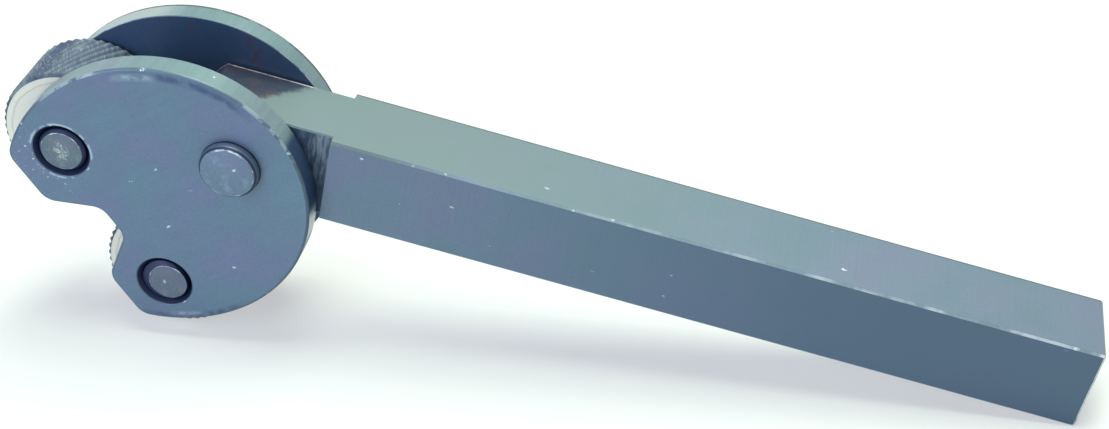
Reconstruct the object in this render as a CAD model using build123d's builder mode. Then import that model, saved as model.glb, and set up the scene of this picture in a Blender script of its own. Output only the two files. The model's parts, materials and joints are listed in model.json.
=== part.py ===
from build123d import *
from math import asin, atan2, cos, degrees, hypot, pi, radians, sin, tan
import os

os.makedirs("parts", exist_ok=True)

# A lathe knurling tool with a rocking head, lying on a bench on its lower wheel and the tail of its shank.
# X runs along the tool with the head at -X, Y across it with the rear cheek plate at +Y, and Z is up.
# The origin is on the bench under the middle of the tool.

# Shank: a square bar, milled on both sides to a tongue. Its lengths start at the pivot.
shank_side = 12.7
tail_length = 117.2
shoulder_length = 11.9
tongue_thickness = 10.2
tongue_nose_radius = 8.5
tongue_edge_break = 0.2
shank_edge_break = 0.3

# Cheek plates: ovals cut straight across the front and notched for the work. The front cut and the notch are
# turned about the pivot by a small angle, towards the lower wheel.
plate_thickness = 3.5
plate_half_length = 21.2
plate_half_width = 19.6
plate_middle = 12.5
plate_front = 27.0
plate_front_turn = 1.5
plate_edge_break = 0.25
lobe_corner_radius = 2.5
notch_floor = 20.7
notch_floor_width = 4.9
notch_side_angle = 34.5
notch_floor_radius = 2.3
notch_mouth_radius = 2.6

# Pins: the wheel pins end flush in countersinks, and the pivot stands out of the plates.
pivot_diameter = 7.94
pivot_stand_out = 1.5
pivot_end_chamfer = 0.35
wheel_pin_diameter = 6.35
wheel_pin_end_chamfer = 0.3
wheel_pin_along = 20.0
wheel_pin_spacing = 22.9
countersink_width = 0.75
countersink_angle = 60

# Knurl wheels: hardened rollers with V teeth, a right and a left hand one.
wheel_diameter = 19.05
tooth_count = 50
tooth_depth = 0.45
tooth_helix_angle = 30
wheel_edge_break = 0.5
bore_edge_break = 0.4
trim_overlap = 1

# Clearances between what moves and what carries it.
head_side_clearance = 0.3
wheel_side_clearance = 0.3
pin_running_clearance = 0.05

# The head is tipped down from the line of the shank by this angle.
head_angle = 42

# Sizes that follow from the ones above.
head_gap = tongue_thickness + 2 * head_side_clearance
head_width = head_gap + 2 * plate_thickness
wheel_width = head_gap - 2 * wheel_side_clearance
wheel_radius = wheel_diameter / 2
pin_from_axis = wheel_pin_spacing / 2

# A plane along the side of the tool, with x forwards, tilted up by an angle, and y upwards across it.
def side_plane(origin, tilt):
    return Plane(origin=origin, x_dir=(-cos(tilt), 0, sin(tilt)), z_dir=(0, 1, 0))


# The tilt at which the lower wheel and the lower edge of the tail both touch the bench, found from the
# same tool with its shank level and its pivot at the origin.
head_drop = radians(head_angle)
lower_pin = side_plane((0, 0, 0), -head_drop).from_local_coords((wheel_pin_along, -pin_from_axis))
tail_foot = side_plane((0, 0, 0), 0).from_local_coords((shank_edge_break - tail_length, -shank_side / 2))
foot_to_pin = lower_pin - tail_foot
foot_to_pin_length = hypot(foot_to_pin.X, foot_to_pin.Z)
rest_tilt = asin(wheel_radius / foot_to_pin_length) - atan2(foot_to_pin.Z, -foot_to_pin.X)
pivot_height = tail_foot.X * sin(rest_tilt) - tail_foot.Z * cos(rest_tilt)

# The pivot's place along the tool, which puts the origin under the middle of the tool.
upper_pin = side_plane((0, 0, 0), rest_tilt - head_drop).from_local_coords((wheel_pin_along, pin_from_axis))
tail_top = side_plane((0, 0, 0), rest_tilt).from_local_coords((-tail_length, shank_side / 2 - shank_edge_break))
pivot_place = (wheel_radius - upper_pin.X - tail_top.X) / 2

# Side planes of the shank, the head and the plates' fronts, all through the pivot, and one through each
# wheel's axis.
pivot = (pivot_place, 0, pivot_height)
shank_plane = side_plane(pivot, rest_tilt)
head_plane = side_plane(pivot, rest_tilt - head_drop)
front_plane = side_plane(pivot, rest_tilt - head_drop - radians(plate_front_turn))
upper_wheel_axis = head_plane.from_local_coords((wheel_pin_along, pin_from_axis))
lower_wheel_axis = head_plane.from_local_coords((wheel_pin_along, -pin_from_axis))
upper_wheel_plane = side_plane(upper_wheel_axis, rest_tilt - head_drop)
lower_wheel_plane = side_plane(lower_wheel_axis, rest_tilt - head_drop)
along_shank = Axis(shank_plane.origin, shank_plane.x_dir)
up_shank = Axis(shank_plane.origin, shank_plane.y_dir)


# Shank: bar and rounded nose in one profile, then a side of the tongue milled away at a time.
with BuildPart() as shank:
    with BuildSketch(shank_plane):
        Circle(tongue_nose_radius)
        with Locations((-tail_length / 2, 0)):
            Rectangle(tail_length, shank_side)
        Rectangle(2 * tail_length, shank_side, mode=Mode.INTERSECT)
    extrude(amount=shank_side / 2, both=True)
    long_edges = shank.edges().filter_by(along_shank)
    tail_face = shank.faces().sort_by(along_shank)[0]
    chamfer(long_edges + tail_face.edges(), length=shank_edge_break)
    for side in (-1, 1):
        with BuildSketch(shank_plane.offset(side * tongue_thickness / 2)):
            with Locations((-shoulder_length, 0)):
                Rectangle(2 * tail_length, shank_side, align=(Align.MIN, Align.CENTER))
        extrude(amount=side * shank_side, mode=Mode.SUBTRACT)
    tongue_sides = shank.faces().filter_by(Plane.XZ).group_by(SortBy.AREA)[0]
    tongue_rims = tongue_sides.edges().filter_by(up_shank, reverse=True)
    chamfer(tongue_rims, length=tongue_edge_break)
    shoulder_edges = shank.edges().filter_by(up_shank).group_by(along_shank)[-1]
    shoulder_corners = shoulder_edges.sort_by(lambda edge: abs(edge.center().Y))[:2]
    fillet(shoulder_corners, radius=head_side_clearance)
    with Locations(shank_plane):
        Hole(pivot_diameter / 2 + pin_running_clearance)
shank.part.label = "shank"
export_step(shank.part, "parts/shank.step")


# Cheek plates: the same plate twice, countersunk on its outer face. Its outline is drawn square to the front
# cut, so it is the oval that's turned there.
def cheek_plate(name, side):
    outwards = Plane(head_plane.origin, x_dir=head_plane.x_dir, z_dir=head_plane.z_dir * side)
    drawing = Plane(front_plane.origin, x_dir=front_plane.x_dir, z_dir=front_plane.z_dir * side)
    oval_centre = drawing.to_local_coords(head_plane.from_local_coords((plate_middle, 0)))
    notch_mouth = notch_floor_width / 2 + (plate_front - notch_floor) * tan(radians(notch_side_angle))
    with BuildPart() as plate:
        with BuildSketch(drawing.offset(head_gap / 2)) as outline:
            with Locations((oval_centre.X, oval_centre.Y)):
                Ellipse(plate_half_length, plate_half_width, rotation=side * plate_front_turn)
            with Locations((plate_front, 0)):
                Rectangle(
                    2 * plate_half_length,
                    2 * plate_half_width,
                    align=(Align.MIN, Align.CENTER),
                    mode=Mode.SUBTRACT,
                )
            with BuildLine():
                Polyline(
                    (plate_front, -notch_mouth),
                    (notch_floor, -notch_floor_width / 2),
                    (notch_floor, notch_floor_width / 2),
                    (plate_front, notch_mouth),
                    close=True,
                )
            make_face(mode=Mode.SUBTRACT)
            floor_corners = outline.vertices().filter_by_position(Axis.X, notch_floor, notch_floor)
            fillet(floor_corners, radius=notch_floor_radius)
            front_corners = outline.vertices().group_by(Axis.X)[-1].sort_by(Axis.Y)
            fillet(front_corners[1:-1], radius=notch_mouth_radius)
            front_corners = outline.vertices().group_by(Axis.X)[-1].sort_by(Axis.Y)
            fillet([front_corners[0], front_corners[-1]], radius=lobe_corner_radius)
        extrude(amount=plate_thickness)
        outer_face = plate.faces().sort_by(Axis(outwards.origin, outwards.z_dir))[-1]
        chamfer(outer_face.outer_wire().edges(), length=plate_edge_break)
        with Locations(outwards.offset(head_gap / 2 + plate_thickness)):
            Hole(pivot_diameter / 2)
            with Locations((wheel_pin_along, -pin_from_axis), (wheel_pin_along, pin_from_axis)):
                CounterSinkHole(
                    wheel_pin_diameter / 2,
                    wheel_pin_diameter / 2 + countersink_width,
                    counter_sink_angle=countersink_angle,
                )
    plate.part.label = name
    export_step(plate.part, f"parts/{name}.step")


cheek_plate("front_cheek_plate", -1)
cheek_plate("rear_cheek_plate", 1)


# Pins: plain turned pins across the tool, centred between the plates.
def cross_pin(name, place, diameter, length, end_chamfer):
    with BuildPart() as pin:
        with BuildSketch(place):
            Circle(diameter / 2)
        extrude(amount=length / 2, both=True)
        chamfer(pin.edges().filter_by(GeomType.CIRCLE), length=end_chamfer)
    pin.part.label = name
    export_step(pin.part, f"parts/{name}.step")


pivot_length = head_width + 2 * pivot_stand_out
cross_pin("pivot_pin", head_plane, pivot_diameter, pivot_length, pivot_end_chamfer)
cross_pin("upper_wheel_pin", upper_wheel_plane, wheel_pin_diameter, head_width, wheel_pin_end_chamfer)
cross_pin("lower_wheel_pin", lower_wheel_plane, wheel_pin_diameter, head_width, wheel_pin_end_chamfer)


# Knurl wheels: a toothed profile is extruded with a twist, and a chamfered disc then trims the tooth ends.
def knurl_wheel(name, place, hand):
    twist = degrees(wheel_width * tan(radians(tooth_helix_angle)) / wheel_radius)
    root_radius = wheel_radius - tooth_depth
    half_pitch = pi / tooth_count
    tooth_points = []
    for tooth in range(tooth_count):
        tip = 2 * tooth * half_pitch
        root = tip + half_pitch
        tooth_points.append((wheel_radius * cos(tip), wheel_radius * sin(tip)))
        tooth_points.append((root_radius * cos(root), root_radius * sin(root)))
    start = place.offset(-wheel_width / 2)
    with BuildSketch(start) as toothed_profile:
        with BuildLine():
            Polyline(*tooth_points, close=True)
        make_face()
    toothed_blank = Solid.extrude_linear_with_rotation(
        toothed_profile.sketch.faces()[0],
        center=start.origin,
        normal=start.z_dir * wheel_width,
        angle=hand * twist,
    )
    with BuildPart() as trimming_disc:
        with BuildSketch(place):
            Circle(wheel_radius + trim_overlap)
        extrude(amount=wheel_width / 2, both=True)
        rims = trimming_disc.edges().filter_by(GeomType.CIRCLE)
        chamfer(rims, length=trim_overlap + wheel_edge_break)
        with Locations(place):
            Hole(wheel_pin_diameter / 2 + pin_running_clearance)
        end_faces = trimming_disc.faces().filter_by(GeomType.PLANE)
        bore_rims = [end.inner_wires()[0].edge() for end in end_faces]
        chamfer(bore_rims, length=bore_edge_break)
    with BuildPart() as wheel:
        add(toothed_blank)
        add(trimming_disc.part, mode=Mode.INTERSECT)
    wheel.part.label = name
    export_step(wheel.part, f"parts/{name}.step")


knurl_wheel("upper_knurl_wheel", upper_wheel_plane, 1)
knurl_wheel("lower_knurl_wheel", lower_wheel_plane, -1)

print("tilt", round(degrees(rest_tilt), 3), "pivot at", round(pivot_place, 4), round(pivot_height, 4))
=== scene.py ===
import json
from math import atan2, cos, pi, radians, sin, tan

import bmesh
import bpy
from mathutils import Matrix, Vector


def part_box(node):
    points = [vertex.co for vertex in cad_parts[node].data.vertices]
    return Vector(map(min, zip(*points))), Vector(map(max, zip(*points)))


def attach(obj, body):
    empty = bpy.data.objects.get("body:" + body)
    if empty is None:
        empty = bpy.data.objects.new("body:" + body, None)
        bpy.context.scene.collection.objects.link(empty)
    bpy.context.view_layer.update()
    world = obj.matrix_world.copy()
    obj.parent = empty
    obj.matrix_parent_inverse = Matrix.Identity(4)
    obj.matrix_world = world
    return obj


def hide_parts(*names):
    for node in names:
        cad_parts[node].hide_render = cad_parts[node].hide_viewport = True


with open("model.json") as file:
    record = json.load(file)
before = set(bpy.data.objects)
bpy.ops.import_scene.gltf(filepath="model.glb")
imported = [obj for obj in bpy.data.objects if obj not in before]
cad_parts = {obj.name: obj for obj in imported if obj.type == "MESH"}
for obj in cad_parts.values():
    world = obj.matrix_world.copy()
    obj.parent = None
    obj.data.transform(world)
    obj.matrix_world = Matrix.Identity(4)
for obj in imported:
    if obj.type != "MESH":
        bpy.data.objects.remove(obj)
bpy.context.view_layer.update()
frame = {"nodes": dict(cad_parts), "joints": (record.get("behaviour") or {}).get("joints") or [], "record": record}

# Camera: the photograph's viewpoint, above the near side of the tool and a little towards its tail.
# Its turn, focal length and sideways shift come from the photograph's edges and circles.
photo_width_px = 1109
focal_length_px = 1931
sensor_width_mm = 36
camera = bpy.data.objects.new("camera", bpy.data.cameras.new("camera"))
camera.location = (0.04257, -0.21089, 0.16918)
camera.rotation_euler = (radians(55.573), radians(-2.156), radians(7.505))
camera.data.sensor_width = sensor_width_mm
camera.data.lens = focal_length_px / photo_width_px * sensor_width_mm
camera.data.shift_x = -0.1392
camera.data.clip_start = 0.01
bpy.context.scene.collection.objects.link(camera)
bpy.context.scene.camera = camera
bpy.context.scene.view_settings.view_transform = "Standard"

# Studio: a white sweep under a soft box that hangs over the head end, with white walls all round.
# The light from above is a little warm and the light from the room a little cold, as by a window.
# Shadows show on the sweep close to the tool, and further away a white veil hides them.
room_strength = 0.13
sweep_half_side = 3.0
veil_near_tool = 0.50
veil_span = (0.12, 0.26)


def srgb(hex_colour):
    """The linear colour of an sRGB hex value, by the curve that sRGB defines."""
    channels = [int(hex_colour[i:i + 2], 16) / 255 for i in (1, 3, 5)]
    return tuple(c / 12.92 if c <= 0.04045 else ((c + 0.055) / 1.055) ** 2.4 for c in channels) + (1.0,)


def add(tree, kind, inputs=(), stops=(), span=(), **settings):
    """Add a shader node. Its inputs are values, sockets, or nodes, which stand for their first output.
    stops are the places and colours of a ramp, and span is where a mapped range starts and ends."""
    node = tree.nodes.new("ShaderNode" + kind)
    for name, value in settings.items():
        setattr(node, name, value)
    values = {**dict(inputs), **dict(zip(("From Min", "From Max"), span))}
    for key, value in values.items():
        if isinstance(value, bpy.types.Node):
            value = value.outputs[0]
        if isinstance(value, bpy.types.NodeSocket):
            tree.links.new(value, node.inputs[key])
        else:
            node.inputs[key].default_value = value
    # A new ramp has two stops already, and the first two that are given take their places.
    for index, (place, colour) in enumerate(stops):
        elements = node.color_ramp.elements
        stop = elements[index] if index < 2 else elements.new(place)
        stop.position = place
        stop.color = srgb(colour)
    return node


def new_material(name):
    material = bpy.data.materials.new(name)
    material.use_nodes = True
    material.node_tree.nodes.clear()
    return material, material.node_tree


def finished(name, mesh):
    """Make a modelled mesh an object of the scene."""
    piece = bpy.data.objects.new(name, bpy.data.meshes.new(name))
    mesh.to_mesh(piece.data)
    mesh.free()
    bpy.context.scene.collection.objects.link(piece)
    return piece


def soft_box(name, size, watts, place, aim, colour, spread=180):
    lamp = bpy.data.lights.new(name, "AREA")
    lamp.spread = radians(spread)
    lamp.shape = "RECTANGLE"
    lamp.size, lamp.size_y = size
    lamp.energy = watts
    lamp.color = srgb(colour)[:3]
    holder = bpy.data.objects.new(name, lamp)
    holder.location = place
    holder.rotation_euler = (Vector(aim) - Vector(place)).to_track_quat("-Z", "Y").to_euler()
    bpy.context.scene.collection.objects.link(holder)


def seen_directly(tree):
    """1 for rays from the camera and from polished or clear surfaces, and 0 for light that spreads."""
    rays = add(tree, "LightPath")
    seen = add(tree, "Math", {0: rays.outputs["Is Camera Ray"], 1: rays.outputs["Is Glossy Ray"]},
               operation="MAXIMUM")
    return add(tree, "Math", {0: seen, 1: rays.outputs["Is Transmission Ray"]}, operation="MAXIMUM")


soft_box("top_soft_box", (0.26, 0.56), 5.5, (0.03, 0.10, 0.60), (-0.02, 0, 0.02), "#FAFFE6")
soft_box("front_soft_box", (0.3, 0.25), 0.30, (-0.22, -0.30, 0.20), (-0.06, 0, 0.02), "#DCE6FF", 100)

world = bpy.data.worlds.new("white_room")
world.use_nodes = True
tree = world.node_tree
tree.nodes.clear()
room_light = add(tree, "Background", {"Color": srgb("#CAE2FF"), "Strength": room_strength})
white_walls = add(tree, "Background", {"Color": (1, 1, 1, 1), "Strength": 1.0})
either = add(tree, "MixShader", {0: seen_directly(tree), 1: room_light, 2: white_walls})
add(tree, "OutputWorld", {"Surface": either})
bpy.context.scene.world = world

# Paper: matt and nearly white, so that it takes the tool's soft shadow.
sweep_material, tree = new_material("white_paper_sweep")
paper = add(tree, "BsdfDiffuse", {"Color": srgb("#EAF4F6")})
glow = add(tree, "Emission", {"Color": (1, 1, 1, 1), "Strength": 1.0})
place = add(tree, "TexCoord")
from_tool = add(tree, "VectorMath", {0: place.outputs["Object"]}, operation="LENGTH").outputs["Value"]
haze = add(tree, "MapRange", {"Value": from_tool, "To Min": veil_near_tool, "To Max": 1.0},
           span=veil_span, interpolation_type="SMOOTHSTEP")
veil = add(tree, "Math", {0: seen_directly(tree), 1: haze}, operation="MULTIPLY")
add(tree, "OutputMaterial", {"Surface": add(tree, "MixShader", {0: veil, 1: paper, 2: glow})})
sweep_mesh = bmesh.new()
bmesh.ops.create_grid(sweep_mesh, x_segments=1, y_segments=1, size=sweep_half_side)
sweep = finished("sweep", sweep_mesh)
sweep.data.materials.append(sweep_material)

# Shank: a half-inch square bar, drawn and belt-ground, its end milled on both sides to a tongue, then
# blacked all over in a hot bath. Tool posts and handling have worn the broken edges bright in places.
joints = {joint["name"]: joint for joint in frame["joints"]}
mounts = {mount["name"]: mount for mount in frame["record"]["mounts"]}
pivot = Vector(joints["head_pivot"]["pos_m"])
shank_up = Vector(mounts["shank_clamp"]["axis"])
shank_back = Vector((shank_up.z, 0, -shank_up.x))
shank_tilt = atan2(shank_up.x, shank_up.z)
shoulder_from_pivot = 0.0119
bar_face = 0.006
bar_rounding = 0.00008

# What share of a face's normal points across the tool: more than the first on a side face, and more than
# the second on a broken edge.
side_face = 0.9
slanted_face = 0.3


def copy_of_node(name, node, zone, edge_rounding, edge_material):
    """A merged copy of a CAD node with rounded edges. zone gives each face the number of its material."""
    mesh = bmesh.new()
    mesh.from_mesh(frame["nodes"][node].data)
    bmesh.ops.remove_doubles(mesh, verts=mesh.verts, dist=1e-6)
    bmesh.ops.dissolve_limit(mesh, angle_limit=radians(1), verts=mesh.verts, edges=mesh.edges)
    for face in mesh.faces:
        face.material_index = zone(face.calc_center_median(), face.normal)
    piece = finished(name, mesh)
    rounding = piece.modifiers.new("rounding", "BEVEL")
    rounding.width = edge_rounding
    rounding.segments = 2
    rounding.limit_method = "ANGLE"
    rounding.angle_limit = radians(25)
    rounding.material = edge_material
    return piece


def shade(piece, *materials):
    for material in materials:
        piece.data.materials.append(material)
    piece.data.shade_smooth()
    piece.data.set_sharp_from_angle(angle=radians(30))


def own_coordinates(tree, place, turn, size=(1, 1, 1)):
    """Coordinates that start at a place and turn with the piece, divided by a size."""
    coordinates = add(tree, "TexCoord")
    return add(tree, "Mapping", {"Vector": coordinates.outputs["Object"], "Location": place,
                                 "Rotation": (0, turn, 0), "Scale": size}, vector_type="TEXTURE")


def coat(tree, skin, colour, *masks):
    """Lay one more colour over a surface where all the masks are 1."""
    where = masks[0]
    for mask in masks[1:]:
        where = add(tree, "Math", {0: where, 1: mask}, operation="MULTIPLY")
    under = skin.inputs["Base Color"].links[0].from_socket
    mixed = add(tree, "Mix", {0: where, 6: under, 7: srgb(colour)}, data_type="RGBA")
    tree.links.new(mixed.outputs[2], skin.inputs["Base Color"])


def patches(tree, here, millimetres, start, end):
    """A mask of cloudy patches of about this size. It rises from 0 to 1 as the cloud goes from start to
    end, so the lower these are, the more of the surface it covers."""
    cloud = add(tree, "TexNoise", {"Vector": here, "Scale": 1000 / millimetres, "Detail": 3.0,
                                   "Roughness": 0.6})
    return add(tree, "MapRange", {"Value": cloud}, span=(start, end), interpolation_type="SMOOTHSTEP")


def black_oxide(name, place, turn, tones, lines_mm=(0.4, 30, 30), lines=0.12, roughness=0.42,
                knocked=0.08):
    """Hot black oxide on ground steel: a thin satin skin whose slate hue drifts to teal and to violet
    in patches. The grinding lines under it still show, and small knocks leave pale flecks. lines_mm is
    the lines' size along, across and up the piece, and knocked is the reach of a fleck in its cell."""
    drift_size = 0.010
    material, tree = new_material(name)
    here = own_coordinates(tree, place, turn)
    drift = add(tree, "TexNoise", {"Vector": here, "Scale": 1 / drift_size, "Detail": 2.0, "Roughness": 0.5})
    hue = add(tree, "ValToRGB", {"Fac": drift}, stops=((0.36, tones[0]), (0.66, tones[2]), (0.50, tones[1])))

    # Real grinding lines are some 0.05 mm apart and the grain of the oxide is finer still. Both are drawn
    # many times as coarse, or neither would show.
    grain_size = 0.0003
    scratches = add(tree, "Mapping", {"Vector": here, "Scale": [1000 / size for size in lines_mm]})
    ground = add(tree, "TexNoise", {"Vector": scratches, "Scale": 1.0, "Detail": 3.0, "Roughness": 0.6})
    grain = add(tree, "TexNoise", {"Vector": here, "Scale": 1 / grain_size, "Detail": 3.0, "Roughness": 0.6})
    colour = hue.outputs["Color"]
    for pattern, strength in ((ground, lines), (grain, 0.20)):
        colour = add(tree, "Mix", {0: strength, 6: colour, 7: pattern}, data_type="RGBA",
                     blend_type="SOFT_LIGHT").outputs[2]
    relief = add(tree, "Bump", {"Strength": 0.2, "Distance": 0.00004, "Height": grain})
    skin = add(tree, "BsdfPrincipled", {"Base Color": colour, "Roughness": roughness, "Metallic": 0.3,
                                        "Normal": relief})

    # One knock can lie in each 5 by 3 mm of the surface, and it leaves a fleck of up to 0.8 by 0.4 mm.
    bent = add(tree, "Mix", {0: 0.0006, 4: here, 5: grain.outputs["Color"]}, data_type="VECTOR")
    spread = add(tree, "Mapping", {"Vector": bent.outputs[1], "Scale": (1 / 0.0052, 1 / 0.0028, 1 / 0.0028)})
    knocks = add(tree, "TexVoronoi", {"Vector": spread, "Scale": 1.0})
    fleck_size = add(tree, "MapRange", {"Value": knocks.outputs["Color"], "To Max": knocked},
                     span=(0.38, 0.9))
    flecks = add(tree, "Math", {0: knocks.outputs["Distance"], 1: fleck_size}, operation="LESS_THAN")
    coat(tree, skin, "#C4D0DA", flecks)
    add(tree, "OutputMaterial", {"Surface": skin})
    return material, tree, skin, here


def worn_edge(name, place, turn, tones, bare_from, bare_to):
    """The same skin on a broken edge, rubbed through to pale steel in short uneven stretches."""
    material, tree, skin, here = black_oxide(name, place, turn, tones)
    coat(tree, skin, "#C3D0D6", patches(tree, here, 1.8, bare_from, bare_to))
    return material, tree, skin, here


ground_faces, broken_edges, milled_sides = range(3)


def shank_zone(middle, normal):
    along = (middle - pivot).dot(shank_back)
    if abs(normal.y) > side_face and along < shoulder_from_pivot:
        return milled_sides
    return broken_edges if slanted_face < abs(normal.y) < side_face else ground_faces


shank = copy_of_node("shank_bar", "shank", shank_zone, bar_rounding, broken_edges)
bar_skin, tree, skin, here = black_oxide("black_oxide_on_ground_bar", pivot, shank_tilt,
                                         ("#61788B", "#65798F", "#697691"), lines=0.07)

# Towards the head the top turns greenish, and towards the tail the front is painted darker, as painted shade where
# the front lamp's light falls off. These spans, and those below, are in metres from the pivot, in the bar's own
# directions.
from_pivot = add(tree, "SeparateXYZ", {"Vector": here})
along, across, upwards = (from_pivot.outputs[axis] for axis in "XYZ")
on_top = add(tree, "Math", {0: upwards, 1: bar_face}, operation="GREATER_THAN")
greener = add(tree, "MapRange", {"Value": along, "To Max": 0.75}, span=(0.090, 0.010),
              interpolation_type="SMOOTHSTEP")
coat(tree, skin, "#687E80", on_top, greener)
in_front = add(tree, "Math", {0: across, 1: -bar_face}, operation="LESS_THAN")
darker = add(tree, "MapRange", {"Value": along, "To Max": 0.9}, span=(0.015, 0.095),
             interpolation_type="SMOOTHSTEP")
coat(tree, skin, "#4A6079", in_front, darker)

# The tongue is painted dark between the cheek plates, as the plates' shade, and brown in patches. The border of
# this painted shade slants across the bar. It is ragged, in fingers some 1.6 mm wide and up to 4 mm long.
shade_finger_width = 0.0016
shade_finger_length = 0.004
ragged = add(tree, "TexNoise", {"Vector": here, "Scale": 1 / shade_finger_width, "Detail": 4.0, "Roughness": 0.7})
reach = add(tree, "Math", {0: ragged, 1: shade_finger_length, 2: along}, operation="MULTIPLY_ADD")
slanted = add(tree, "Math", {0: across, 1: -1.0, 2: reach}, operation="MULTIPLY_ADD")
shaded_between_plates = add(tree, "MapRange", {"Value": slanted}, span=(0.0042, 0.0024), interpolation_type="SMOOTHSTEP")
coat(tree, skin, "#2E384E", shaded_between_plates)
coat(tree, skin, "#403D4E", shaded_between_plates, patches(tree, here, 2.6, 0.44, 0.60))

# A thin dark line painted along the far edge stands in for the shade on its chamfer.
far_edge = add(tree, "MapRange", {"Value": across, "To Max": 0.75}, span=(0.00574, 0.00592))
coat(tree, skin, "#3A4248", far_edge)

# A painted highlight lines the rear top edge of the tongue, in pale patches.
at_tongue = add(tree, "MapRange", {"Value": along}, span=(0.0068, 0.0060))
at_rear_edge = add(tree, "MapRange", {"Value": across}, span=(0.00462, 0.00474))
coat(tree, skin, "#C4BCC6", at_tongue, at_rear_edge, patches(tree, here, 1.4, 0.30, 0.52))

# The broken edges are dull near the head, and handling has polished them towards the tail. Falls have
# bared spots of the edge round the tail's end.
bar_edge, tree, skin, here = worn_edge("black_oxide_worn_on_bar_edges", pivot, shank_tilt,
                                       ("#728694", "#768A9A", "#788AA0"), 0.62, 0.68)
along = add(tree, "SeparateXYZ", {"Vector": here}).outputs["X"]
towards_head = add(tree, "MapRange", {"Value": along, "To Max": 0.9}, span=(0.034, 0.014),
                   interpolation_type="SMOOTHSTEP")
coat(tree, skin, "#53666C", towards_head)
towards_tail = add(tree, "MapRange", {"Value": along}, span=(0.030, 0.085))
coat(tree, skin, "#AEBAC8", towards_tail, patches(tree, here, 5.0, 0.40, 0.62))
at_tail = add(tree, "MapRange", {"Value": along}, span=(0.1160, 0.1167))
coat(tree, skin, "#C6D0D8", at_tail, patches(tree, here, 3.0, 0.36, 0.50))

# The milled sides of the tongue are still rough from the cutter, which left upright strokes. They are painted
# dark, as the shade between the cheek plates, except by the top of the shoulder, where handling has rubbed the
# strokes pale. Such a stroke is some 0.2 mm wide on a real bar, and it is drawn 0.6 mm wide and 3.5 mm long to
# show.
stroke_width = 0.0006
stroke_length = 0.0035
milled_side, tree, skin, here = black_oxide("black_oxide_on_milled_tongue", pivot, shank_tilt,
                                            ("#34486C", "#384C70", "#3E5276"), (0.9, 12, 3.5), 0.35)
from_pivot = add(tree, "SeparateXYZ", {"Vector": here})
by_shoulder = add(tree, "MapRange", {"Value": from_pivot.outputs["X"]}, span=(0.0045, 0.0105),
                  interpolation_type="SMOOTHSTEP")
by_top = add(tree, "MapRange", {"Value": from_pivot.outputs["Z"]}, span=(-0.0055, 0.0025),
             interpolation_type="SMOOTHSTEP")
leaning = add(tree, "Mapping", {"Vector": here, "Rotation": (0, radians(-14), 0),
                                "Scale": (1 / stroke_width, 1, 1 / stroke_length)})
strokes = add(tree, "TexNoise", {"Vector": leaning, "Scale": 1.0, "Detail": 4.0, "Roughness": 0.65})
rubbed = add(tree, "MapRange", {"Value": strokes}, span=(0.44, 0.66))
coat(tree, skin, "#3C4E66", by_shoulder, by_top)
coat(tree, skin, "#8492A2", by_shoulder, by_top, rubbed)
shade(shank, bar_skin, bar_edge, milled_side)
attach(shank, "shank")
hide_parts("shank")

# Cheek plates: two ovals blanked from strip, notched for the work and countersunk on their outer faces,
# then blacked. The blanking tool rolled the edge over a little, and there the skin wears off first.
upper_axis = Vector(joints["upper_wheel_spin"]["pos_m"])
lower_axis = Vector(joints["lower_wheel_spin"]["pos_m"])
head_forward = ((upper_axis + lower_axis) / 2 - pivot).normalized()
head_turn = atan2(head_forward.z, -head_forward.x)
plate_middle_from_pivot = 0.0125
plate_middle = pivot + plate_middle_from_pivot * head_forward
plate_half_length = 0.0212
plate_half_width = 0.0196
plate_rounding = 0.00010
countersink_reach = 0.0041
plate_tones = ("#607B92", "#637791", "#697497")


def oval_coordinates(tree):
    """Coordinates in which the outline of the plates is a circle of radius 1. They ignore the depth."""
    flattened = 1e6
    return own_coordinates(tree, plate_middle, head_turn, (plate_half_length, flattened, plate_half_width))


def sector(tree, oval, degrees_from_front, inner, outer):
    """A mask round one bearing of the oval, measured from the front of the head up over its top. It is 1
    within the inner angle of that bearing, and 0 beyond the outer one."""
    bearing = radians(degrees_from_front)
    heading = add(tree, "VectorMath", {0: oval}, operation="NORMALIZE")
    nearness = add(tree, "VectorMath", {0: heading, 1: (-cos(bearing), 0, sin(bearing))},
                   operation="DOT_PRODUCT").outputs["Value"]
    return add(tree, "MapRange", {"Value": nearness}, span=(cos(radians(outer)), cos(radians(inner))),
               interpolation_type="SMOOTHSTEP")


def from_axis(tree, here):
    """The coordinates without their depth, and how far they lie from the line across the tool on which
    they start."""
    flat = add(tree, "Mapping", {"Vector": here, "Scale": (1, 0, 1)})
    return flat, add(tree, "VectorMath", {0: flat}, operation="LENGTH").outputs["Value"]


# The broken edge of the outer faces is paler in two stretches, over the top and at the back.
plate_edge, tree, skin, here = worn_edge("black_oxide_worn_on_plate_edges", pivot, head_turn,
                                         ("#4A5F72", "#50667A", "#546A80"), 0.64, 0.70)
oval = oval_coordinates(tree)
for bearing, inner, outer in ((89, 10, 16), (173, 12, 17)):
    coat(tree, skin, "#8CA0AC", sector(tree, oval, bearing, inner, outer),
         patches(tree, here, 1.2, 0.36, 0.56))

# The inner faces are painted dark as the shade between the plates, with a few rusty patches. The countersinks are
# painted dark as the shade in their recesses, with old oil in them.
shaded_inner_face, tree, skin, here = black_oxide("black_oxide_painted_shade_inside", pivot, head_turn,
                                           ("#3C5674", "#425A7A", "#4A5C7E"), roughness=0.40)
coat(tree, skin, "#5A4C5C", patches(tree, here, 2.2, 0.60, 0.72))
countersink_skin = black_oxide("black_oxide_in_countersinks", pivot, head_turn,
                               ("#18264A", "#1C2A4E", "#202E52"), roughness=0.5)[0]


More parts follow.
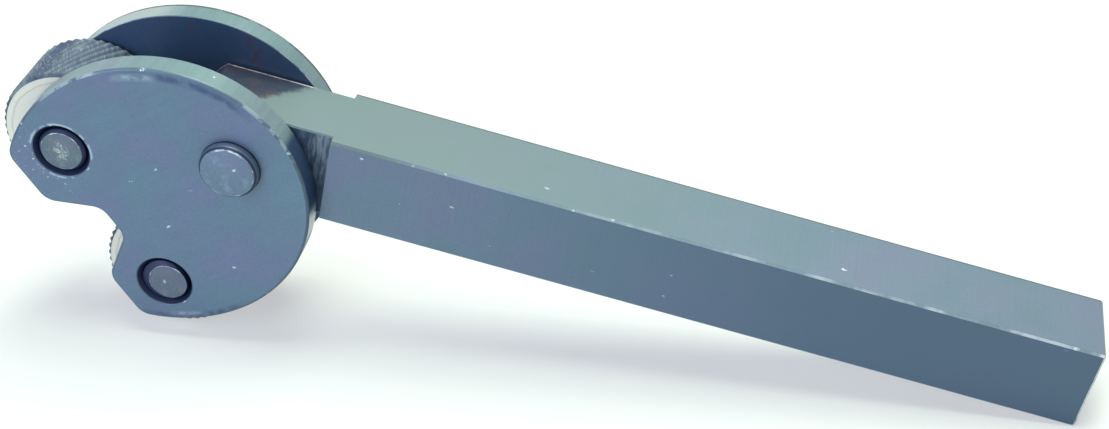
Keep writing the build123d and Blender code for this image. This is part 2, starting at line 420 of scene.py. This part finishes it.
def plate_face(name):
    """The oxide on an outer face: darker and paler in bands along its rim, and burred round the upper pin."""
    material, tree, skin, here = black_oxide(name, pivot, head_turn, plate_tones, (6, 6, 0.8), 0.10)
    oval = oval_coordinates(tree)
    towards_rim = add(tree, "VectorMath", {0: oval}, operation="LENGTH").outputs["Value"]

    # A dark and a pale band over the top, then the same under the lower pin. Each has its bearing and the angles
    # of its sector, its band as shares of the way out to the rim, and its colour.
    for bearing, inner, outer, band_start, band_end, colour in (
        (135, 17, 33, 0.930, 0.970, "#41547A"), (116, 2, 11, 0.920, 0.955, "#8CA3B2"),
        (-70, 12, 26, 0.955, 0.990, "#46597A"), (-67, 2, 8, 0.945, 0.955, "#A2B4C6"),
    ):
        band_in = add(tree, "MapRange", {"Value": towards_rim}, span=(band_start - 0.02, band_start + 0.01))
        band_out = add(tree, "MapRange", {"Value": towards_rim}, span=(band_end + 0.02, band_end - 0.01))
        coat(tree, skin, colour, band_in, band_out, sector(tree, oval, bearing, inner, outer),
             patches(tree, here, 1.3, 0.26, 0.60))

    # The burr is a broken ring just outside the countersink, and specks lie ahead of it. These spans are
    # in metres from the pin's middle.
    burr_start = 0.00396
    flat, from_pin = from_axis(tree, own_coordinates(tree, upper_axis, head_turn))
    burr_in = add(tree, "Math", {0: from_pin, 1: burr_start}, operation="GREATER_THAN")
    burr_out = add(tree, "MapRange", {"Value": from_pin}, span=(0.0044, 0.0041))
    coat(tree, skin, "#A9BDD2", burr_in, burr_out, patches(tree, here, 2.0, 0.47, 0.54))
    close_by = add(tree, "MapRange", {"Value": from_pin}, span=(0.0075, 0.0050))
    backwards = add(tree, "SeparateXYZ", {"Vector": flat}).outputs["X"]
    ahead = add(tree, "MapRange", {"Value": backwards}, span=(-0.0015, -0.0035))
    coat(tree, skin, "#B8C8D8", close_by, ahead, patches(tree, here, 0.8, 0.62, 0.68))
    return material


def plate_rim(name, side, far_side):
    """The oxide on a blanked rim: greyer and streaked across by the tool. The front plate's rim is painted dark
    behind, as painted shade where it faces the shank, with a painted pale stretch of light from the floor below
    that. The rear plate's rim has a painted highlight on top and is darker in patches along its far edge."""
    material, tree, skin, here = black_oxide(name, pivot, head_turn, ("#68848C", "#6C8690", "#728694"),
                                             (0.6, 20, 0.6), 0.3)
    oval = oval_coordinates(tree)
    if side == "front":
        # Painted shade where the front rim faces the shank, then a painted pale stretch where the floor lights it.
        coat(tree, skin, "#33486A", sector(tree, oval, -164, 13, 17))
        coat(tree, skin, "#B8BECC", sector(tree, oval, -141, 5, 7))
    else:
        # A painted highlight over the top of the rear rim.
        coat(tree, skin, "#98A7AD", sector(tree, oval, 98, 9, 22))
        across = add(tree, "SeparateXYZ", {"Vector": here}).outputs["Y"]
        at_far_edge = add(tree, "MapRange", {"Value": across}, span=(far_side - 0.0008, far_side - 0.0006))
        coat(tree, skin, "#4C5456", at_far_edge, patches(tree, here, 5.0, 0.36, 0.46))
    return material


outer_face, outer_edge, blanked_rim, inner_face, countersink = range(5)

for side, outwards in (("front", -1), ("rear", 1)):
    def plate_zone(middle, normal):
        on_axes = (Vector((axis.x, middle.y, axis.z)) for axis in (upper_axis, lower_axis))
        near_pin = min((middle - on_axis).length for on_axis in on_axes)
        if near_pin < countersink_reach and abs(normal.y) < side_face:
            return countersink
        if normal.y * outwards > side_face:
            return outer_face
        if normal.y * outwards < -side_face:
            return inner_face
        return outer_edge if normal.y * outwards > slanted_face else blanked_rim

    low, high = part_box(side + "_cheek_plate")
    plate = copy_of_node(side + "_cheek", side + "_cheek_plate", plate_zone, plate_rounding, outer_edge)
    shade(plate, plate_face(side + "_black_oxide_on_strip"), plate_edge,
          plate_rim(side + "_black_oxide_on_blanked_rim", side, high.y), shaded_inner_face, countersink_skin)
    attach(plate, "head")
    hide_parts(side + "_cheek_plate")

# Wheel pins: turned from quarter-inch bar and pushed through plates and wheel. Their ends lie in the
# countersinks, staked with a punch. Parting them off on the lathe left rings on the ends.
# An end is faintly dished, its edge is broken, and it tapers down into the countersink.
end_dish = 0.00002
end_break = 0.00006
end_break_width = 0.00010
end_taper = 0.00050


def turned(name, axis, end_profile, zone):
    """A piece turned about a line across the tool, the same at both ends. The profile goes from the
    middle of one end out to its side."""
    profile = end_profile + [(radius, -across) for radius, across in reversed(end_profile)]
    mesh = bmesh.new()
    corners = [mesh.verts.new((radius, across, 0)) for radius, across in profile]
    outline = [mesh.edges.new(pair) for pair in zip(corners, corners[1:])]
    bmesh.ops.spin(mesh, geom=corners + outline, cent=(0, 0, 0), axis=(0, 1, 0), dvec=(0, 0, 0),
                   angle=2 * pi, steps=96, use_merge=True)
    bmesh.ops.remove_doubles(mesh, verts=mesh.verts, dist=1e-7)
    bmesh.ops.recalc_face_normals(mesh, faces=mesh.faces)
    for face in mesh.faces:
        face.material_index = zone(face.calc_center_median(), face.normal)
    bmesh.ops.translate(mesh, verts=mesh.verts, vec=axis)
    return finished(name, mesh)


def pin_end(name, axis, tones, mark_reach, mark_rays, mark_colour):
    """Bare turned steel that has dulled: grey, with faint lathe rings and a pale punch mark. The rings
    are drawn 0.22 mm apart, some three times as coarse as the real ones, so that they show."""
    material, tree, skin, here = black_oxide(name, axis, head_turn, tones, lines=0.0, roughness=0.40,
                                             knocked=0.0)
    flat, from_middle = from_axis(tree, here)
    rings = add(tree, "TexNoise", {"W": from_middle, "Scale": 1 / 0.00022, "Detail": 2.0},
                noise_dimensions="1D")
    coat(tree, skin, "#A9B8C4", add(tree, "MapRange", {"Value": rings, "To Max": 0.25}, span=(0.52, 0.9)))
    coat(tree, skin, tones[3], patches(tree, here, 1.4, 0.50, 0.72))

    # The punch mark is a star or a plain dot, inside a leaning oval. The star is noise with some nine rays
    # round the middle, each of which changes about once in a millimetre.
    parts = add(tree, "SeparateXYZ", {"Vector": here})
    bearing = add(tree, "Math", {0: parts.outputs["X"], 1: parts.outputs["Z"]}, operation="ARCTAN2")
    spoke = add(tree, "CombineXYZ", {"X": bearing, "Y": from_middle})
    spread = add(tree, "Mapping", {"Vector": spoke, "Scale": (1.5, 900, 1)})
    star = add(tree, "TexNoise", {"Vector": spread, "Scale": 1.0, "Detail": 4.0, "Roughness": 0.75})
    rays = add(tree, "MapRange", {"Value": star, "To Min": 1 - mark_rays}, span=(0.47, 0.60))
    leaning = add(tree, "Mapping", {"Vector": flat, "Rotation": (0, radians(-28), 0)})
    narrowed = add(tree, "Mapping", {"Vector": leaning, "Scale": (1.5, 1, 1)})
    from_mark = add(tree, "VectorMath", {0: narrowed}, operation="LENGTH").outputs["Value"]
    within = add(tree, "MapRange", {"Value": from_mark}, span=(mark_reach, mark_reach * 0.3))
    coat(tree, skin, mark_colour, rays, within)
    return material


pin_end_face, pin_side, pin_end_rim = range(3)

# The lower pin's end face lies off its middle. Each pin has its tones, the radius of its end face and how
# far that is off, and its punch mark's reach, its rays (1 for a star and 0 for a dot) and its colour.
for level, axis, tones, face_radius, face_shift, mark_reach, mark_rays, mark_colour in (
    ("upper", upper_axis, ("#56687C", "#5C6C7A", "#646E84", "#6A7C80"), 0.00280, 0, 0.0019, 1, "#BECCC4"),
    ("lower", lower_axis, ("#566479", "#5C687C", "#646880", "#6C6F86"), 0.00266, 0.00046, 0.00040, 0,
     "#A5BCC9"),
):
    low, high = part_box(level + "_wheel_pin")
    pin_radius = (high.x - low.x) / 2
    pin_half_length = (high.y - low.y) / 2

    def pin_zone(middle, normal):
        from_end = pin_half_length - abs(middle.y)
        if from_end < end_dish:
            return pin_end_face
        return pin_end_rim if from_end < end_break else pin_side

    pin = turned(level + "_pin", axis, [
        (0, pin_half_length - end_dish), (face_radius - end_break_width, pin_half_length),
        (face_radius, pin_half_length - end_break), (pin_radius, pin_half_length - end_taper),
    ], pin_zone)
    for point in pin.data.vertices:
        if abs(point.co.y) > pin_half_length - 2 * end_break:
            point.co.x += face_shift
    # Each end's taper takes the countersinks' dark skin: painted shade, with old oil.
    shade(pin, pin_end(level + "_dulled_pin_end", axis, tones, mark_reach, mark_rays, mark_colour),
          countersink_skin, worn_edge(level + "_pin_rim", axis, head_turn, tones, 0.46, 0.62)[0])
    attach(pin, "head")
    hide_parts(level + "_wheel_pin")

# Knurl wheels: hardened tool steel rollers. Slanting V teeth are cut round the rim, to the left on one
# and to the right on the other. The sides are ground nearly white, and the teeth stay dull and oily.
tooth_count = 50
tooth_depth = 0.00025
tooth_helix = radians(30)
tip_sharpness = 1.18
points_per_tooth = 8
rim_rings = 14
edge_break = 0.0005
bore_break = 0.0004
bore_clearance = 0.00005
toothed_rim, ground_sides = range(2)


def grown_ring(mesh, edges):
    """Extrude a ring of edges where it stands. Gives the new points and the edges that join them."""
    grown = bmesh.ops.extrude_edge_only(mesh, edges=edges)["geom"]
    points = [part for part in grown if isinstance(part, bmesh.types.BMVert)]
    new_points = set(points)
    ring = [part for part in grown if isinstance(part, bmesh.types.BMEdge)
            and part.verts[0] in new_points and part.verts[1] in new_points]
    return points, ring


def knurled(name, axis, radius, half_width, bore_radius, hand):
    """A wheel made as a plain twisted tube, whose rim points are then pressed in between the teeth."""
    turn_per_metre = hand * tan(tooth_helix) / radius
    mesh = bmesh.new()
    points = bmesh.ops.create_circle(mesh, segments=tooth_count * points_per_tooth, radius=radius)["verts"]
    bmesh.ops.rotate(mesh, verts=points, cent=(0, 0, 0), matrix=Matrix.Rotation(pi / 2, 3, "X"))
    bmesh.ops.translate(mesh, verts=points, vec=(0, -half_width, 0))
    step = 2 * (half_width - edge_break) / rim_rings
    places = [edge_break - half_width + step * ring for ring in range(rim_rings + 1)]
    places = [-half_width] + places + [half_width]
    first_ring = mesh.edges[:]
    edges = first_ring
    for start, end in zip(places, places[1:]):
        points, edges = grown_ring(mesh, edges)
        bmesh.ops.translate(mesh, verts=points, vec=(0, end - start, 0))
        bmesh.ops.rotate(mesh, verts=points, cent=(0, 0, 0),
                         matrix=Matrix.Rotation(turn_per_metre * (end - start), 3, "Y"))
    for point in mesh.verts:
        bearing = atan2(point.co.x, point.co.z) - turn_per_metre * point.co.y
        phase = bearing * tooth_count / (2 * pi) % 1
        height = min(1.0, tip_sharpness * abs(2 * phase - 1))
        trim = max(0.0, edge_break - (half_width - abs(point.co.y)))
        new_radius = min(radius - tooth_depth * (1 - height), radius - trim)
        point.co.x *= new_radius / radius
        point.co.z *= new_radius / radius
    bore_rings = []
    for edges, side in ((first_ring, -1), (edges, 1)):
        for ring_radius, depth in ((bore_radius + bore_break, 0), (bore_radius, bore_break)):
            points, edges = grown_ring(mesh, edges)
            for point in points:
                direction = Vector((point.co.x, 0, point.co.z)).normalized()
                point.co = direction * ring_radius + Vector((0, side * (half_width - depth), 0))
        bore_rings += edges
    bmesh.ops.bridge_loops(mesh, edges=bore_rings)
    bmesh.ops.recalc_face_normals(mesh, faces=mesh.faces)
    for face in mesh.faces:
        face.material_index = ground_sides if abs(face.normal.y) > side_face else toothed_rim
    bmesh.ops.translate(mesh, verts=mesh.verts, vec=axis)
    return finished(name, mesh)


def cut_teeth(name, axis, radius, hand):
    """Hardened tool steel that's dull with oil: slate grey, darker in the grooves and paler on the tips.
    Pale streaks on the tips are painted highlights along the teeth, and work has left worn patches that are nearly
    green."""
    material, tree = new_material(name)
    here = own_coordinates(tree, axis, head_turn)
    from_middle = from_axis(tree, here)[1]
    height = add(tree, "MapRange", {"Value": from_middle}, span=(radius - tooth_depth, radius))
    steel = add(tree, "ValToRGB", {"Fac": height},
                stops=((0.0, "#404C62"), (0.95, "#5A687E"), (0.50, "#4C5A72")))
    skin = add(tree, "BsdfPrincipled", {"Base Color": steel, "Roughness": 0.62, "Specular IOR Level": 0.35,
                                        "Metallic": 0.15})
    coat(tree, skin, "#70828A", patches(tree, here, 4.5, 0.48, 0.66))

    # The rim is darker in patches along the top of the wheel. Bearings go from the front of the head up over its
    # top.
    dark_patch_bearing = radians(99)
    parts = add(tree, "SeparateXYZ", {"Vector": here})
    forwards = add(tree, "Math", {0: parts.outputs["X"], 1: -1.0}, operation="MULTIPLY")
    bearing = add(tree, "Math", {0: parts.outputs["Z"], 1: forwards}, operation="ARCTAN2")
    from_dark_patch = add(tree, "Math", {0: bearing, 1: dark_patch_bearing}, operation="SUBTRACT")
    off_dark_patch = add(tree, "Math", {0: from_dark_patch}, operation="ABSOLUTE")
    near_dark_patch = add(tree, "MapRange", {"Value": off_dark_patch}, span=(radians(14), radians(5)))
    coat(tree, skin, "#384462", near_dark_patch, patches(tree, here, 2.4, 0.34, 0.56))

    # The streaks follow the teeth. They are drawn 0.26 mm wide, as finer ones wouldn't show.
    untwisted = add(tree, "Math", {0: parts.outputs["Y"], 1: hand * tan(tooth_helix) / radius, 2: bearing},
                    operation="MULTIPLY_ADD")
    along_teeth = add(tree, "CombineXYZ", {"X": untwisted, "Y": parts.outputs["Y"]})
    drawn = add(tree, "Mapping", {"Vector": along_teeth, "Scale": (radius / 0.00026, 1 / 0.0024, 1)})
    streaks = add(tree, "TexNoise", {"Vector": drawn, "Scale": 1.0, "Detail": 3.0, "Roughness": 0.6})
    coat(tree, skin, "#343F55", add(tree, "MapRange", {"Value": streaks, "To Max": 0.7}, span=(0.48, 0.34)))
    # Pale streaks on the tooth tips: painted highlights.
    pale = add(tree, "MapRange", {"Value": streaks, "To Max": 0.8}, span=(0.54, 0.70))
    coat(tree, skin, "#8E9EA2", pale, height)
    add(tree, "OutputMaterial", {"Surface": skin})
    return material


def ground_side(name, axis, radius):
    """Hardened tool steel ground flat: a warm, nearly white face, with a faint brown ring near its edge
    where a washer of old oil has dried. The grinding rings are drawn 0.16 mm apart, coarse enough to show."""
    ring_from_edge = 0.0010
    material, tree = new_material(name)
    here = own_coordinates(tree, axis, head_turn)
    from_middle = from_axis(tree, here)[1]
    rings = add(tree, "TexNoise", {"W": from_middle, "Scale": 1 / 0.00016, "Detail": 3.0},
                noise_dimensions="1D")
    steel = add(tree, "ValToRGB", {"Fac": rings}, stops=((0.3, "#E4DFD4"), (0.7, "#F0EAE0")))
    relief = add(tree, "Bump", {"Strength": 0.3, "Distance": 0.00002, "Height": rings})
    skin = add(tree, "BsdfPrincipled", {"Base Color": steel, "Roughness": 0.42, "Metallic": 0.2,
                                        "Normal": relief})
    wobble = add(tree, "TexNoise", {"Vector": here, "Scale": 1 / 0.002, "Detail": 2.0})
    wandering = add(tree, "Math", {0: wobble, 1: 0.0006, 2: from_middle}, operation="MULTIPLY_ADD")
    from_ring = add(tree, "Math", {0: wandering, 1: radius - ring_from_edge}, operation="SUBTRACT")
    off_ring = add(tree, "Math", {0: from_ring}, operation="ABSOLUTE")
    oil_ring = add(tree, "MapRange", {"Value": off_ring, "To Max": 0.35}, span=(0.00016, 0.00004))
    coat(tree, skin, "#A08C84", oil_ring)
    coat(tree, skin, "#CDC4B6", patches(tree, here, 1.6, 0.62, 0.78))
    add(tree, "OutputMaterial", {"Surface": skin})
    return material


for level, axis, hand in (("upper", upper_axis, 1), ("lower", lower_axis, -1)):
    low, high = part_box(level + "_knurl_wheel")
    pin_low, pin_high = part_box(level + "_wheel_pin")
    wheel_radius = (high.x - low.x) / 2
    bore_radius = (pin_high.x - pin_low.x) / 2 + bore_clearance
    wheel = knurled(level + "_wheel", axis, wheel_radius, (high.y - low.y) / 2, bore_radius, hand)
    shade(wheel, cut_teeth(level + "_cut_teeth", axis, wheel_radius, hand),
          ground_side(level + "_ground_side", axis, wheel_radius))
    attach(wheel, level + "_wheel")
    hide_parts(level + "_knurl_wheel")

# Pivot pin: turned from bar, pushed through both plates and the tongue, with its ends left proud. The broken edge
# of each end is rubbed bright. Right behind it, and where the pin meets the plate, its side is painted dark as
# shade.
low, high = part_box("pivot_pin")
pivot_radius = (high.x - low.x) / 2
pivot_half_length = (high.y - low.y) / 2
pivot_dish = 0.00001
bright_depth = 0.00012
shaded_depth = 0.00030
contact_shade_depth = 0.00126

# Each corner of the pivot's outline at an end: how far it lies in from the side and back from the end.
pivot_corners = (
    (0.00052, 0), (0.00046, 0.00003), (0.00034, 0.00015), (0.00010, 0.00042), (0, 0.00060), (0, 0.00125),
    (0, 0.00140),
)
pivot_profile = [(0, pivot_half_length - pivot_dish)]
pivot_profile += [(pivot_radius - inwards, pivot_half_length - back) for inwards, back in pivot_corners]
pivot_end_face, pivot_bright_edge, pivot_painted_shade, pivot_side = range(4)


# The side right behind the bright edge, and where it meets the plate, takes the countersinks' skin as painted
# shade.
def pivot_zone(middle, normal):
    from_end = pivot_half_length - abs(middle.y)
    if from_end < pivot_dish:
        return pivot_end_face
    if from_end < bright_depth:
        return pivot_bright_edge
    return pivot_painted_shade if from_end < shaded_depth or from_end > contact_shade_depth else pivot_side


pivot_piece = turned("pivot", pivot, pivot_profile, pivot_zone)
pivot_face, tree, skin, here = black_oxide("black_oxide_on_pivot_end", pivot, head_turn,
                                           ("#62788E", "#677B94", "#72789A"))
coat(tree, skin, "#7288A0", patches(tree, here, 1.6, 0.52, 0.70))

# A small pale spot lies behind the middle of the end.
pale_spot_from_middle = 0.0012
off_centre = add(tree, "Mapping", {"Vector": here, "Location": (-pale_spot_from_middle, 0, 0.0),
                                   "Scale": (1, 0, 1.6)})
from_spot = add(tree, "VectorMath", {0: off_centre}, operation="LENGTH").outputs["Value"]
coat(tree, skin, "#C2D2E2", add(tree, "MapRange", {"Value": from_spot}, span=(0.00038, 0.00012)))
pivot_edge = worn_edge("pivot_edge_rubbed_bright", pivot, head_turn, plate_tones, 0.52, 0.68)[0]
pivot_side_skin = black_oxide("black_oxide_on_pivot_side", pivot, head_turn,
                              ("#4E6076", "#52647A", "#566680"))[0]
shade(pivot_piece, pivot_face, pivot_edge, countersink_skin, pivot_side_skin)
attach(pivot_piece, "head")
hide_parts("pivot_pin")

bpy.context.view_layer.update()
